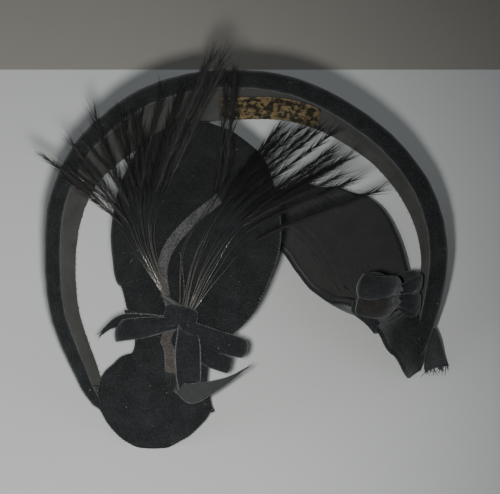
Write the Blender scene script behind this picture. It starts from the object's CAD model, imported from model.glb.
import math
import random

import bpy
from mathutils import Matrix, Vector, noise


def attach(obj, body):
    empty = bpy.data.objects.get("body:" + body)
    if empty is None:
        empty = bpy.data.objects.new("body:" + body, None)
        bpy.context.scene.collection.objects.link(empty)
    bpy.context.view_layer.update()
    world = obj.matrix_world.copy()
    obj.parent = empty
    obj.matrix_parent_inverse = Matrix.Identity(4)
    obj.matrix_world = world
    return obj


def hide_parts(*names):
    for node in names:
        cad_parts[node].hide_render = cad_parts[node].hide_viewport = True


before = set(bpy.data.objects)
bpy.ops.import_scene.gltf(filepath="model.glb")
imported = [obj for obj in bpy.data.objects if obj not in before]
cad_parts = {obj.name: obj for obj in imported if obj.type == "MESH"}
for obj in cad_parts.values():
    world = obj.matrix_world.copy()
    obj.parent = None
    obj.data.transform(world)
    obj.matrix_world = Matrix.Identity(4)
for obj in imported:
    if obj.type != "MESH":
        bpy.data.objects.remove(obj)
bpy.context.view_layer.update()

# The hat stands on a pale table, with a grey board lying beyond, in plain soft light, and is seen
# from in front and 45 degrees above, from far off so that nearer parts hardly look larger.
# The frame's origin is under the middle of the hat's box; the tables below count from the arch.
ARCH_FROM_ORIGIN = Vector((0.0015, -0.05174, 0.0))
VIEW_ACROSS = 0.225
CAMERA_AWAY = 8.0
SENSOR = 36.0


def linear(hex_colour):
    """An sRGB hex colour as linear red, green, blue and alpha"""
    parts = [int(hex_colour[i : i + 2], 16) / 255 for i in (1, 3, 5)]
    return [p / 12.92 if p <= 0.04045 else ((p + 0.055) / 1.055) ** 2.4 for p in parts] + [1.0]


def node(tree, kind, links=None, **settings):
    """Adds a node, sets its settings, and links or fills its inputs; a node given as a source
    stands for its first output in use"""
    made = tree.nodes.new(kind)
    for name, value in settings.items():
        setattr(made, name, value)
    for socket, source in (links or {}).items():
        if isinstance(source, bpy.types.Node):
            source = next(output for output in source.outputs if output.enabled)
        if isinstance(source, bpy.types.NodeSocket):
            tree.links.new(source, made.inputs[socket])
        else:
            made.inputs[socket].default_value = source
    return made


def new_material(name):
    material = bpy.data.materials.new(name)
    material.use_nodes = True
    material.node_tree.nodes.clear()
    return material, material.node_tree


def finished(material, looks):
    """The material, ended with a surface that has these looks"""
    shader = node(material.node_tree, "ShaderNodeBsdfPrincipled", looks)
    node(material.node_tree, "ShaderNodeOutputMaterial", {"Surface": shader})
    return material


camera_data = bpy.data.cameras.new("photo_camera")
camera_data.sensor_width = SENSOR
camera_data.lens = SENSOR * CAMERA_AWAY / VIEW_ACROSS
camera_data.clip_end = 30
camera = bpy.data.objects.new("photo_camera", camera_data)
aim = Vector((0.0, 0.052, 0.051)) + ARCH_FROM_ORIGIN
from_aim = Vector((0, -1, 1)).normalized()
camera.location = aim + from_aim * CAMERA_AWAY
camera.rotation_euler = (-from_aim).to_track_quat("-Z", "Y").to_euler()
bpy.context.scene.collection.objects.link(camera)
bpy.context.scene.camera = camera

# A laminate table top and a painted board that lies flat beyond it, where the photo has a wall, so
# that the hat is seen from behind too: matt, with a faint cloudiness and a few dull marks
WALL_BEHIND = 0.218 + ARCH_FROM_ORIGIN.y


def matt_board(name, hex_colour, hex_cloud):
    material, tree = new_material(name)
    where = node(tree, "ShaderNodeTexCoord").outputs["Object"]
    clouds = node(tree, "ShaderNodeTexNoise", {"Vector": where, "Scale": 9.0, "Detail": 3.0})
    mix = node(
        tree, "ShaderNodeMix", {"Factor": clouds, "A": linear(hex_colour), "B": linear(hex_cloud)},
        data_type="RGBA"
    )
    # dull specks under 1 mm, a few centimetres apart
    dots = node(tree, "ShaderNodeTexVoronoi", {"Vector": where, "Scale": 26.0})
    speck = node(tree, "ShaderNodeMapRange", {"Value": dots, "From Min": 0.022, "From Max": 0.01})
    marked = node(
        tree, "ShaderNodeMix", {"Factor": speck, "A": mix, "B": linear("#85837e")}, data_type="RGBA"
    )
    return finished(material, {"Base Color": marked, "Roughness": 0.6})


def stage_sheet(name, corners, material):
    mesh = bpy.data.meshes.new(name)
    mesh.from_pydata([Vector(c) for c in corners], [], [(0, 1, 2, 3)])
    mesh.materials.append(material)
    sheet = bpy.data.objects.new(name, mesh)
    bpy.context.scene.collection.objects.link(sheet)


SPREAD = 3.0
stage_sheet(
    "table_top",
    [(-SPREAD, -SPREAD, 0), (SPREAD, -SPREAD, 0), (SPREAD, WALL_BEHIND, 0), (-SPREAD, WALL_BEHIND, 0)],
    matt_board("white_laminate", "#c4c8c8", "#cbcfcf")
)
stage_sheet(
    "grey_board_behind",
    [(-SPREAD, WALL_BEHIND, 0), (SPREAD, WALL_BEHIND, 0), (SPREAD, SPREAD, 0), (-SPREAD, SPREAD, 0)],
    matt_board("grey_board_paint", "#908e88", "#898781")
)
world = bpy.data.worlds.new("soft_room")
bpy.context.scene.world = world
world.use_nodes = True
world.node_tree.nodes["Background"].inputs["Color"].default_value = linear("#e4e7e6")
world.node_tree.nodes["Background"].inputs["Strength"].default_value = 0.15


# One soft lamp stands in front of the hat and above it, turned to its left side, and throws the
# arch's shadow onto the table; two faint broad lights soften the sides.
def lamp(name, kind, place, target, watts, hex_colour, **settings):
    data = bpy.data.lights.new(name, kind)
    data.energy = watts
    data.color = linear(hex_colour)[:3]
    for setting, value in settings.items():
        setattr(data, setting, value)
    light = bpy.data.objects.new(name, data)
    light.location = place
    light.rotation_euler = (Vector(target) - Vector(place)).to_track_quat("-Z", "Y").to_euler()
    bpy.context.scene.collection.objects.link(light)


lamp(
    "front_lamp",
    "SPOT",
    (-0.045, -1.18, 1.17),
    (-0.125, -0.1, 0.02),
    122.0,
    "#fffdf8",
    spot_size=math.radians(23.5),
    spot_blend=1.0,
    shadow_soft_size=0.032,
)
lamp("left_fill", "AREA", (-1.3, -0.3, 1.1), aim, 3.4, "#f1f5fc", shape="DISK", size=1.2)
lamp("right_fill", "AREA", (1.1, -0.9, 0.45), aim, 2.4, "#f4f6ff", shape="DISK", size=0.8)

# The edge roll is the arch's padded rim: a bias strip of black silk velvet rolled over a soft cord
# and slip stitched down, so it is round, a little lumpy, and shows a row of small stitches.
# columns: centre x, y, z, band width, roll size, way to the band's inner edge side, back, up
RIM_WIDTH, ARCH_REACH, ARCH_HEIGHT = 0.176, 0.134, 0.1
BAND_SECTIONS = (
    (-0.38, -0.104, 0.14, 0.5, 0.4, 0.35, 0.66, -0.66),
    (-0.415, -0.06, 0.22, 0.58, 0.62, 0.4, 0.65, -0.65),
    (-0.443, -0.007, 0.31, 0.64, 0.76, 0.42, 0.64, -0.64),
    (-0.469, 0.037, 0.4, 0.67, 0.8, 0.45, 0.63, -0.63),
    (-0.489, 0.082, 0.495, 0.68, 0.8, 0.45, 0.63, -0.63),
    (-0.5, 0.15, 0.59, 0.68, 0.82, 0.47, 0.62, -0.62),
    (-0.503, 0.261, 0.695, 0.7, 0.86, 0.5, 0.6, -0.62),
    (-0.494, 0.373, 0.79, 0.75, 0.92, 0.55, 0.5, -0.67),
    (-0.46, 0.485, 0.87, 0.8, 0.96, 0.5, 0.35, -0.79),
    (-0.403, 0.597, 0.93, 0.9, 1, 0.42, 0.2, -0.88),
    (-0.29, 0.724, 0.985, 0.97, 1, 0.27, 0.1, -0.95),
    (-0.165, 0.799, 1, 1, 1, 0.13, 0.08, -0.99),
    (-0.026, 0.825, 0.995, 0.97, 1, 0, 0.08, -1),
    (0.114, 0.813, 0.96, 0.83, 1, -0.08, 0.08, -0.99),
    (0.244, 0.769, 0.865, 0.71, 1, -0.2, 0.12, -0.97),
    (0.369, 0.687, 0.73, 0.66, 1, -0.33, 0.22, -0.92),
    (0.455, 0.582, 0.55, 0.63, 1, -0.42, 0.35, -0.84),
    (0.483, 0.455, 0.36, 0.58, 1, -0.42, 0.5, -0.76),
    (0.457, 0.299, 0.18, 0.52, 0.9, -0.45, 0.6, -0.66),
    (0.415, 0.174, 0.04, 0.36, 0.6, -0.45, 0.7, -0.5),
)
ROLL_DIAMETER = 0.0084
ABOVE_TABLE = 0.00002
# the roll's ends are this share of its size, and swell at this rate to the whole of it
ROLL_END, ROLL_SWELL = 0.35, 40
LUMP, LUMP_SIZE = 0.00022, 0.006


def smooth_through(points):
    """A curve through the points, as a function of a share from 0 to 1 of their number"""
    points = [Vector(p) for p in points]
    ends = [2 * points[0] - points[1]] + points + [2 * points[-1] - points[-2]]

    def at(share):
        along = min(max(share, 0.0), 1.0) * (len(points) - 1)
        first = min(int(along), len(points) - 2)
        t = along - first
        a, b, c, d = ends[first : first + 4]
        m, n = (c - a) / 2, (d - b) / 2
        return b + m * t + (3 * (c - b) - 2 * m - n) * t * t + (2 * (b - c) + m + n) * t**3

    return at


def in_rows(rows, value):
    """A curve of a value of each row of a table, as a function of the row's place"""
    curve = smooth_through([value(r) for r in rows])
    return lambda row: curve(row / (len(rows) - 1))


def in_arch(x, y, z):
    return Vector((x * RIM_WIDTH, y * ARCH_REACH, z * ARCH_HEIGHT)) + ARCH_FROM_ORIGIN


roll_centre = in_rows(BAND_SECTIONS, lambda r: in_arch(*r[:3]))
to_inner_edge = in_rows(BAND_SECTIONS, lambda r: r[5:8])
band_sizes = in_rows(BAND_SECTIONS, lambda r: (r[3], r[4], 0))
LAST_ROW = len(BAND_SECTIONS) - 1


def uneven(point, size, seed=0.0):
    """A smooth unevenness from -1 to 1 with lumps of the given size in metres"""
    return noise.noise(point / size + Vector((seed, 1.7 * seed, -seed)))


def velvet(name, hex_pile, hex_bloom, hex_dust):
    """Silk velvet: cut pile, near black where it is looked into and grey-blue where it leans"""
    material, tree = new_material(name)
    where = node(tree, "ShaderNodeTexCoord").outputs["Object"]
    # crushed patches of the pile, about 9 mm across
    crushed = node(
        tree, "ShaderNodeTexNoise", {"Vector": where, "Scale": 110.0, "Detail": 4.0, "Roughness": 0.6}
    )
    patch = node(tree, "ShaderNodeMapRange", {"Value": crushed, "From Min": 0.4, "From Max": 0.72})
    # the pile's tufts are 0.2 mm, drawn at 0.5 mm so that they show
    tufts = node(tree, "ShaderNodeTexNoise", {"Vector": where, "Scale": 2000.0, "Detail": 2.0})
    grain = node(tree, "ShaderNodeMapRange", {"Value": tufts, "From Min": 0.5, "From Max": 0.72})
    share = node(tree, "ShaderNodeMath", {0: patch, 1: 0.14}, operation="MULTIPLY")
    both = node(tree, "ShaderNodeMath", {0: grain, 1: 0.42, 2: share}, operation="MULTIPLY_ADD")
    pile = node(
        tree, "ShaderNodeMix", {"Factor": both, "A": linear(hex_pile), "B": linear(hex_bloom)},
        data_type="RGBA"
    )
    # lint and dust: specks of 0.3 mm, a few millimetres apart
    lint = node(tree, "ShaderNodeTexVoronoi", {"Vector": where, "Scale": 420.0, "Randomness": 1.0})
    speck = node(tree, "ShaderNodeMapRange", {"Value": lint, "From Min": 0.1, "From Max": 0.05})
    rare = node(tree, "ShaderNodeTexNoise", {"Vector": where, "Scale": 260.0})
    here = node(tree, "ShaderNodeMapRange", {"Value": rare, "From Min": 0.56, "From Max": 0.62})
    dust = node(tree, "ShaderNodeMath", {0: speck, 1: here}, operation="MULTIPLY")
    dusty = node(
        tree, "ShaderNodeMix", {"Factor": dust, "A": pile, "B": linear(hex_dust)}, data_type="RGBA"
    )
    nap = node(tree, "ShaderNodeBump", {"Height": tufts, "Strength": 0.6, "Distance": 0.0004})
    folds = node(
        tree, "ShaderNodeBump", {"Height": crushed, "Normal": nap, "Strength": 0.35, "Distance": 0.0015}
    )
    return finished(
        material,
        {
            "Base Color": dusty, "Normal": folds, "Roughness": 0.95, "Specular IOR Level": 0.15,
            "Sheen Weight": 0.46, "Sheen Roughness": 0.45, "Sheen Tint": linear("#aeb3b6")
        }
    )


BLACK_VELVET = velvet("black_silk_velvet", "#151718", "#424648", "#9a9a96")


def new_cloth():
    return {"corners": [], "faces": [], "uv": [], "finish": []}


def grid_of(surface, steps, strips, closed=False):
    rings = steps if closed else steps + 1
    return [[surface(i / steps, j / strips) for j in range(strips + 1)] for i in range(rings)]


def add_wall(cloth, surface, steps, strips, outer, inner, finishes=(0, 0, 0), closed=False, rounds=3):
    """Adds a cloth wall with rounded edges: outer and inner are its faces' offsets along cross of s
    and t, and finishes the material places of the outer face, the edges and the inner face"""
    rows = grid_of(surface, steps, strips, closed)
    count = len(rows)
    half_wall = abs(outer - inner) / 2
    middle = (outer + inner) / 2
    sign = 1 if outer > inner else -1
    corners, uv, ring_finish = [], [], []
    along = 0.0
    for i in range(count):
        before, after = (i - 1, (i + 1) % count) if closed else (max(i - 1, 0), min(i + 1, count - 1))
        row = rows[i]
        if i:
            along += (row[strips // 2] - rows[i - 1][strips // 2]).length
        across = [0.0]
        for j in range(strips):
            across.append(across[-1] + (row[j + 1] - row[j]).length)
        inset = min(half_wall / max(across[-1], 1e-6), 0.4)
        normals, ways = [], []
        for j in range(strips + 1):
            ds = rows[after][j] - rows[before][j]
            dt = row[min(j + 1, strips)] - row[max(j - 1, 0)]
            normals.append(ds.cross(dt).normalized())
            ways.append(dt.normalized())

        def place(j, offset, sideways):
            share = j / strips
            wanted = (inset + share * (1 - 2 * inset)) * strips
            low = min(int(wanted), strips - 1)
            point = row[low].lerp(row[low + 1], wanted - low)
            return point + normals[j] * offset + ways[j] * sideways, min(across[j], across[-1] - across[j])

        ring = [(j, outer, 0.0, finishes[0]) for j in range(strips + 1)]
        for k in range(1, rounds):
            a = math.pi * k / rounds
            ring.append(
                (strips, middle + sign * half_wall * math.cos(a), half_wall * math.sin(a), finishes[1])
            )
        ring += [(j, inner, 0.0, finishes[2]) for j in range(strips, -1, -1)]
        for k in range(1, rounds):
            a = math.pi * k / rounds
            ring.append((0, middle - sign * half_wall * math.cos(a), -half_wall * math.sin(a), finishes[1]))
        for j, offset, sideways, _ in ring:
            point, edge = place(j, offset, sideways)
            corners.append(point)
            uv.append((along, edge))
        ring_finish = [r[3] for r in ring]
    size = len(ring_finish)
    faces, finish = [], []
    for i in range(steps):
        k = (i + 1) % count
        for j in range(size):
            n = (j + 1) % size
            faces.append((i * size + j, i * size + n, k * size + n, k * size + j))
            finish.append(ring_finish[j] if ring_finish[j] == ring_finish[n] else finishes[1])
    if not closed:
        for start in (0, steps * size):
            for j in range(strips):
                back = size - rounds - j
                quad = (start + j, start + j + 1, start + back - 1, start + back)
                faces.append(quad if start else quad[::-1])
                finish.append(finishes[1])
            for first in (strips, 2 * strips + rounds):
                rim = [start + (first + n) % size for n in range(rounds + 1)]
                faces.append(tuple(rim if start else rim[::-1]))
                finish.append(finishes[1])
    volume = sum(
        corners[f[0]].dot(corners[f[i]].cross(corners[f[i + 1]]))
        for f in faces
        for i in range(1, len(f) - 1)
    )
    if volume < 0:
        faces = [f[::-1] for f in faces]
    base = len(cloth["corners"])
    cloth["corners"] += corners
    cloth["uv"] += uv
    cloth["faces"] += [tuple(base + c for c in f) for f in faces]
    cloth["finish"] += finish
    area = 0.0
    for i in range(count if closed else count - 1):
        for j in range(strips):
            a, b, c, d = rows[i][j], rows[i][j + 1], rows[(i + 1) % count][j + 1], rows[(i + 1) % count][j]
            area += ((b - a).cross(c - a).length + (c - a).cross(d - a).length) / 2
    return along, area


def make_piece(name, cloth, materials, replaced):
    """A cloth as a piece that takes the place of a CAD node"""
    mesh = bpy.data.meshes.new(name)
    mesh.from_pydata(cloth["corners"], [], cloth["faces"])
    layer = mesh.uv_layers.new(name="cloth")
    for loop in mesh.loops:
        layer.data[loop.index].uv = cloth["uv"][loop.vertex_index]
    for material in materials:
        mesh.materials.append(material)
    for polygon, place in zip(mesh.polygons, cloth["finish"]):
        polygon.material_index = place
        polygon.use_smooth = True
    piece = bpy.data.objects.new(name, mesh)
    bpy.context.scene.collection.objects.link(piece)
    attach(piece, "root")
    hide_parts(replaced)
    return piece


def add_roll(cloth, centre_at, radius_at, steps, sides):
    """Adds a round padded roll with domed ends"""
    corners, uv = [], []
    along, last = 0.0, None
    for i in range(steps + 1):
        s = i / steps
        centre = centre_at(s)
        way = (centre_at(min(s + 1e-3, 1)) - centre_at(max(s - 1e-3, 0))).normalized()
        first = Vector((0, 1, 0)).cross(way).normalized()
        second = way.cross(first)
        along += (centre - last).length if last else 0.0
        last = centre
        for j in range(sides):
            a = 2 * math.pi * j / sides
            out = first * math.cos(a) + second * math.sin(a)
            point = centre + out * radius_at(s)
            point += out * LUMP * uneven(point, LUMP_SIZE)
            corners.append(point)
            uv.append((along, j / sides))
    faces = []
    for i in range(steps):
        for j in range(sides):
            k = (j + 1) % sides
            faces.append((i * sides + j, i * sides + k, (i + 1) * sides + k, (i + 1) * sides + j))
    faces.append(tuple(range(sides))[::-1])
    faces.append(tuple(steps * sides + j for j in range(sides)))
    base = len(cloth["corners"])
    cloth["corners"] += corners
    cloth["uv"] += uv
    cloth["faces"] += [tuple(base + c for c in f) for f in faces]
    cloth["finish"] += [0] * len(faces)


def on_table(cloth):
    """Presses the cloth flat where it rests on the table"""
    cloth["corners"] = [Vector((p.x, p.y, max(p.z, ABOVE_TABLE))) for p in cloth["corners"]]
    return cloth


edge_cloth = new_cloth()
ROLL_STEPS, ROLL_SIDES = 520, 28
add_roll(
    edge_cloth, lambda s: roll_centre(s * LAST_ROW),
    lambda s: band_sizes(s * LAST_ROW).y * ROLL_DIAMETER / 2 * min(
        1.0, ROLL_END + ROLL_SWELL * min(s, 1 - s)
    ),
    ROLL_STEPS, ROLL_SIDES
)
edge_roll = make_piece("velvet_edge_roll", on_table(edge_cloth), [BLACK_VELVET], "edge_roll")

# The roll is felled to the band with black silk thread: a row of small slanting stitches, worn
# pale where they catch the light, on the side towards the band.
def new_tree(name, sockets):
    """A Geometry Nodes tree with the named inputs, and its group input's sockets"""
    tree = bpy.data.node_groups.new(name, "GeometryNodeTree")
    tree.interface.new_socket("Geometry", in_out="INPUT", socket_type="NodeSocketGeometry")
    for socket, kind in sockets.items():
        tree.interface.new_socket(socket, in_out="INPUT", socket_type=f"NodeSocket{kind}")
    tree.interface.new_socket("Geometry", in_out="OUTPUT", socket_type="NodeSocketGeometry")
    return tree, node(tree, "NodeGroupInput").outputs


def end_tree(tree, geometry, material):
    whole = node(tree, "GeometryNodeRealizeInstances", {"Geometry": geometry})
    smooth = node(tree, "GeometryNodeSetShadeSmooth", {"Geometry": whole})
    dressed = node(tree, "GeometryNodeSetMaterial", {"Geometry": smooth, "Material": material})
    node(tree, "NodeGroupOutput", {"Geometry": dressed})


def lines_mesh(name, lines):
    """Open lines as a mesh of edges, with each point's share of its line as the attribute along"""
    corners, edges, shares = [], [], []
    for line in lines:
        first = len(corners)
        corners += line
        edges += [(first + i, first + i + 1) for i in range(len(line) - 1)]
        shares += [i / (len(line) - 1) for i in range(len(line))]
    mesh = bpy.data.meshes.new(name)
    mesh.from_pydata(corners, edges, [])
    mesh.attributes.new("along", "FLOAT", "POINT").data.foreach_set("value", shares)
    return mesh


def grown(name, lines, tree, inputs):
    """Runs a tree on lines and keeps its result as a plain mesh piece"""
    piece = bpy.data.objects.new(name, lines_mesh(name, lines))
    bpy.context.scene.collection.objects.link(piece)
    grow = piece.modifiers.new("grow", "NODES")
    grow.node_group = tree
    for item in tree.interface.items_tree:
        if item.item_type == "SOCKET" and item.in_out == "INPUT" and item.name in inputs:
            grow[item.identifier] = inputs[item.name]
    seen = piece.evaluated_get(bpy.context.evaluated_depsgraph_get())
    made = bpy.data.meshes.new_from_object(seen)
    piece.modifiers.remove(grow)
    piece.data = made
    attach(piece, "root")
    return piece


stitch_tree, stitch_in = new_tree(
    "stitches_along",
    {"Spacing": "Float", "Length": "Float", "Thickness": "Float", "Slant": "Float", "Material": "Material"}
)
seam = node(stitch_tree, "GeometryNodeMeshToCurve", {"Mesh": stitch_in["Geometry"]})
places = node(
    stitch_tree, "GeometryNodeCurveToPoints", {"Curve": seam, "Length": stitch_in["Spacing"]}, mode="LENGTH"
)
bead = node(stitch_tree, "GeometryNodeMeshIcoSphere", {"Radius": 0.5, "Subdivisions": 1})
bead_size = node(
    stitch_tree, "ShaderNodeCombineXYZ",
    {"X": stitch_in["Thickness"], "Y": stitch_in["Thickness"], "Z": stitch_in["Length"]}
)
stitch = node(stitch_tree, "GeometryNodeTransform", {"Geometry": bead, "Scale": bead_size})
unsteady = node(stitch_tree, "FunctionNodeRandomValue", {2: -0.35, 3: 0.35, "Seed": 4}, data_type="FLOAT")
slanting = node(stitch_tree, "ShaderNodeMath", {0: stitch_in["Slant"], 1: unsteady}, operation="ADD")
slant = node(stitch_tree, "ShaderNodeCombineXYZ", {"X": slanting})
slant_turn = node(stitch_tree, "FunctionNodeEulerToRotation", {"Euler": slant})
turned = node(
    stitch_tree, "FunctionNodeRotateRotation",
    {"Rotation": places.outputs["Rotation"], "Rotate By": slant_turn}, rotation_space="LOCAL"
)
size_range = node(stitch_tree, "FunctionNodeRandomValue", {2: 0.6, 3: 1.2, "Seed": 9}, data_type="FLOAT")
stitches = node(
    stitch_tree, "GeometryNodeInstanceOnPoints",
    {"Points": places, "Instance": stitch, "Rotation": turned, "Scale": size_range}
)
end_tree(stitch_tree, stitches, stitch_in["Material"])


def stitched(name, lines, spacing, length, thickness, slant, material):
    """A row of stitches along each line"""
    sizes = {"Spacing": spacing, "Length": length, "Thickness": thickness, "Slant": slant}
    return grown(name, lines, stitch_tree, {**sizes, "Material": material})


def thread(name, hex_colour, hex_worn):
    """Twisted silk or cotton thread: two plies, worn paler in places"""
    material, tree = new_material(name)
    where = node(tree, "ShaderNodeTexCoord").outputs["Object"]
    worn = node(tree, "ShaderNodeTexNoise", {"Vector": where, "Scale": 700.0, "Detail": 2.0})
    mix = node(
        tree, "ShaderNodeMix", {"Factor": worn, "A": linear(hex_colour), "B": linear(hex_worn)},
        data_type="RGBA"
    )
    plies = node(tree, "ShaderNodeBump", {"Height": worn, "Strength": 0.4, "Distance": 0.0001})
    return finished(material, {"Base Color": mix, "Normal": plies, "Roughness": 0.6})


BLACK_THREAD = thread("black_silk_thread", "#1b1c1e", "#45484a")
WORN_THREAD = thread("worn_selvage_thread", "#3f4142", "#808283")


def band_way(row):
    """The band's directions at a row: along it, towards its inner edge, and outwards"""
    way = to_inner_edge(row).normalized()
    along = (roll_centre(row + 0.05) - roll_centre(row - 0.05)).normalized()
    return along, way, along.cross(way).normalized()


def roll_line(angle, first, last, count=260):
    """A line along the roll's surface, at an angle from the band's side towards its outside"""
    line = []
    for i in range(count):
        row = (first + (last - first) * i / (count - 1)) * LAST_ROW
        _, way, outwards = band_way(row)
        radius = band_sizes(row).y * ROLL_DIAMETER / 2
        around = way * math.cos(angle) + outwards * math.sin(angle)
        line.append(roll_centre(row) + around * (radius + 0.0001))
    return line


ROW_START, ROW_ANGLES = 0.03, (-1.0, 0.9)
roll_stitches = stitched(
    "edge_roll_stitches", [roll_line(angle, ROW_START, 1 - ROW_START) for angle in ROW_ANGLES],
    spacing=0.0021, length=0.0012, thickness=0.0003, slant=0.7, material=BLACK_THREAD
)

# The band is two layers of stiff buckram covered in black silk velvet, 2 mm thick, bowed a little
# outwards between its edges. Its inner edge is turned over; its ends lie inside the two lobes.
WALL = 0.002
BAND_WIDTH, BAND_BULGE = 0.028, 0.0012
ROLL_TUCK = 0.0026


def band_point(row, distance):
    _, way, outwards = band_way(row)
    share = distance / (band_sizes(row).x * BAND_WIDTH)
    return roll_centre(row) + way * distance + outwards * (BAND_BULGE * 4 * share * (1 - share) + WALL / 2)


def band_surface(first, last, edge, ripple):
    """The band's outer face between two shares of its length, for its wall and its lining"""

    def surface(s, t):
        row = (first + s * (last - first)) * LAST_ROW
        start = min(band_sizes(row).y * ROLL_DIAMETER / 2, ROLL_TUCK)
        end = band_sizes(row).x * BAND_WIDTH - edge
        point = band_point(row, start + t * (end - start))
        return point + band_way(row)[2] * ripple(row, t, point)

    return surface


BAND_STEPS = 54
band_cloth = new_cloth()
band_length, band_area = add_wall(
    band_cloth,
    band_surface(1 / BAND_STEPS, 1 - 1 / BAND_STEPS, 0, lambda row, t, p: 0.0002 * uneven(p, 0.012)), 240,
    14, 0.0, -WALL
)
band = make_piece("velvet_band", on_table(band_cloth), [BLACK_VELVET], "band")
min(band_area, BAND_WIDTH * band_length)

# The band's lining is thin brown-grey cotton, sewn in by hand. It is 1 mm with its seam
# allowances, puckers across the band, and has a joining seam at the left with creases beside it.
LINING, CLOTH_GAP, LINING_INSET = 0.001, 0.00045, 0.0012
UNDER_WALL = WALL + CLOTH_GAP


def lining_cotton(name, hex_warp, hex_weft, hex_stain):
    """Plain-woven cotton, washed thin: a fine weave, cloudy stains and paler rubbed places"""
    material, tree = new_material(name)
    on_cloth = node(tree, "ShaderNodeUVMap", uv_map="cloth")
    where = node(tree, "ShaderNodeTexCoord").outputs["Object"]
    # threads are 0.25 mm apart, drawn at 0.5 mm so that the weave shows
    warp = node(
        tree, "ShaderNodeTexWave", {"Vector": on_cloth, "Scale": 640.0, "Distortion": 0.6},
        bands_direction="X"
    )
    weft = node(
        tree, "ShaderNodeTexWave", {"Vector": on_cloth, "Scale": 640.0, "Distortion": 0.6},
        bands_direction="Y"
    )
    weave = node(
        tree, "ShaderNodeMath", {0: warp.outputs["Fac"], 1: weft.outputs["Fac"]}, operation="MULTIPLY"
    )
    stain = node(
        tree, "ShaderNodeTexNoise", {"Vector": where, "Scale": 90.0, "Detail": 5.0, "Roughness": 0.65}
    )
    stained = node(tree, "ShaderNodeMapRange", {"Value": stain, "From Min": 0.35, "From Max": 0.75})
    cloth = node(
        tree, "ShaderNodeMix", {"Factor": weave, "A": linear(hex_warp), "B": linear(hex_weft)},
        data_type="RGBA"
    )
    aged = node(
        tree, "ShaderNodeMix", {"Factor": stained, "A": cloth, "B": linear(hex_stain)}, data_type="RGBA"
    )
    threads = node(tree, "ShaderNodeBump", {"Height": weave, "Strength": 0.35, "Distance": 0.0002})
    creased = node(
        tree, "ShaderNodeBump", {"Height": stain, "Normal": threads, "Strength": 0.4, "Distance": 0.001}
    )
    return finished(
        material,
        {
            "Base Color": aged, "Normal": creased, "Roughness": 0.85, "Specular IOR Level": 0.3,
            "Sheen Weight": 0.08
        }
    )


BAND_COTTON = lining_cotton("brown_grey_cotton_lining", "#3e3f3e", "#585955", "#343534")
SEAM_ROW = 7.7


def band_puckers(row, t, point):
    """How far the lining stands off the band: puckers along it and deeper creases at its seam"""
    pucker = 0.00022 * (1 + uneven(Vector((row * 0.012, t * 0.004, 0)), 0.004))
    beside = math.exp(-(((row - SEAM_ROW) / 0.5) ** 2))
    crease = 0.0005 * beside * (1 + math.sin((row - SEAM_ROW) * 16 + 2 * t)) * math.sin(math.pi * t)
    seam_ridge = 0.0004 * math.exp(-(((row - SEAM_ROW - 0.15 * t) / 0.045) ** 2))
    return -(pucker + crease + seam_ridge)


LINING_ENDS = 3 / BAND_STEPS
lining_cloth = new_cloth()
lining_length, lining_area = add_wall(
    lining_cloth, band_surface(LINING_ENDS, 1 - LINING_ENDS, LINING_INSET, band_puckers), 420, 20,
    -UNDER_WALL, -UNDER_WALL - LINING
)
band_lining = make_piece("cotton_band_lining", lining_cloth, [BAND_COTTON], "band_lining")


def lining_edge_line(first, last, count=200):
    line = []
    for i in range(count):
        row = (first + (last - first) * i / (count - 1)) * LAST_ROW
        width = band_sizes(row).x * BAND_WIDTH
        line.append(
            band_point(
                row, width - LINING_INSET - 0.0008
            ) - band_way(row)[2] * (UNDER_WALL + LINING + 0.0004)
        )
    return line


lining_stitches = stitched(
    "band_lining_stitches", [lining_edge_line(LINING_ENDS, 1 - LINING_ENDS)], spacing=0.0028, length=0.001,
    thickness=0.00025, slant=0.4, material=BLACK_THREAD
)
min(lining_area, BAND_WIDTH * lining_length)

# The label place is a bare tab of ochre satin, sewn to the lining along its edges with running
# stitches. It has no words; years of wear have mottled it brown.
LABEL_LENGTH, LABEL_HEIGHT, LABEL_MIDDLE = 0.049, 0.015, 12.6
UNDER_LINING = UNDER_WALL + LINING + CLOTH_GAP


def label_satin():
    """Ochre satin, woven with long floats: a soft gloss, brown mottles and darker edges"""
    material, tree = new_material("ochre_satin_label")
    on_cloth = node(tree, "ShaderNodeUVMap", uv_map="cloth")
    where = node(tree, "ShaderNodeTexCoord").outputs["Object"]
    floats = node(
        tree, "ShaderNodeTexWave", {"Vector": on_cloth, "Scale": 900.0, "Distortion": 1.5},
        bands_direction="X"
    )
    mottle = node(
        tree, "ShaderNodeTexNoise", {"Vector": where, "Scale": 330.0, "Detail": 4.0, "Roughness": 0.7}
    )
    spots = node(tree, "ShaderNodeMapRange", {"Value": mottle, "From Min": 0.43, "From Max": 0.53})
    satin = node(
        tree, "ShaderNodeMix",
        {"Factor": floats.outputs["Fac"], "A": linear("#6a5c40"), "B": linear("#7b6b48")}, data_type="RGBA"
    )
    worn = node(
        tree, "ShaderNodeMix", {"Factor": spots, "A": satin, "B": linear("#1a1711")}, data_type="RGBA"
    )
    bump = node(
        tree, "ShaderNodeBump", {"Height": floats.outputs["Fac"], "Strength": 0.3, "Distance": 0.00015}
    )
    return finished(material, {"Base Color": worn, "Normal": bump, "Roughness": 0.5, "Anisotropic": 0.4})


label_half = LABEL_LENGTH / (roll_centre(LABEL_MIDDLE + 0.5) - roll_centre(LABEL_MIDDLE - 0.5)).length / 2


def label_surface(s, t):
    row = LABEL_MIDDLE + (2 * s - 1) * label_half
    lower = band_sizes(row).x * BAND_WIDTH - 2 * LINING_INSET
    upper = max(lower - LABEL_HEIGHT, band_sizes(row).y * ROLL_DIAMETER / 2 + 0.0003)
    point = band_point(row, upper + t * (lower - upper))
    return point - band_way(row)[2] * 0.0005 * (0.6 + 0.4 * uneven(point, 0.009))


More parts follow.
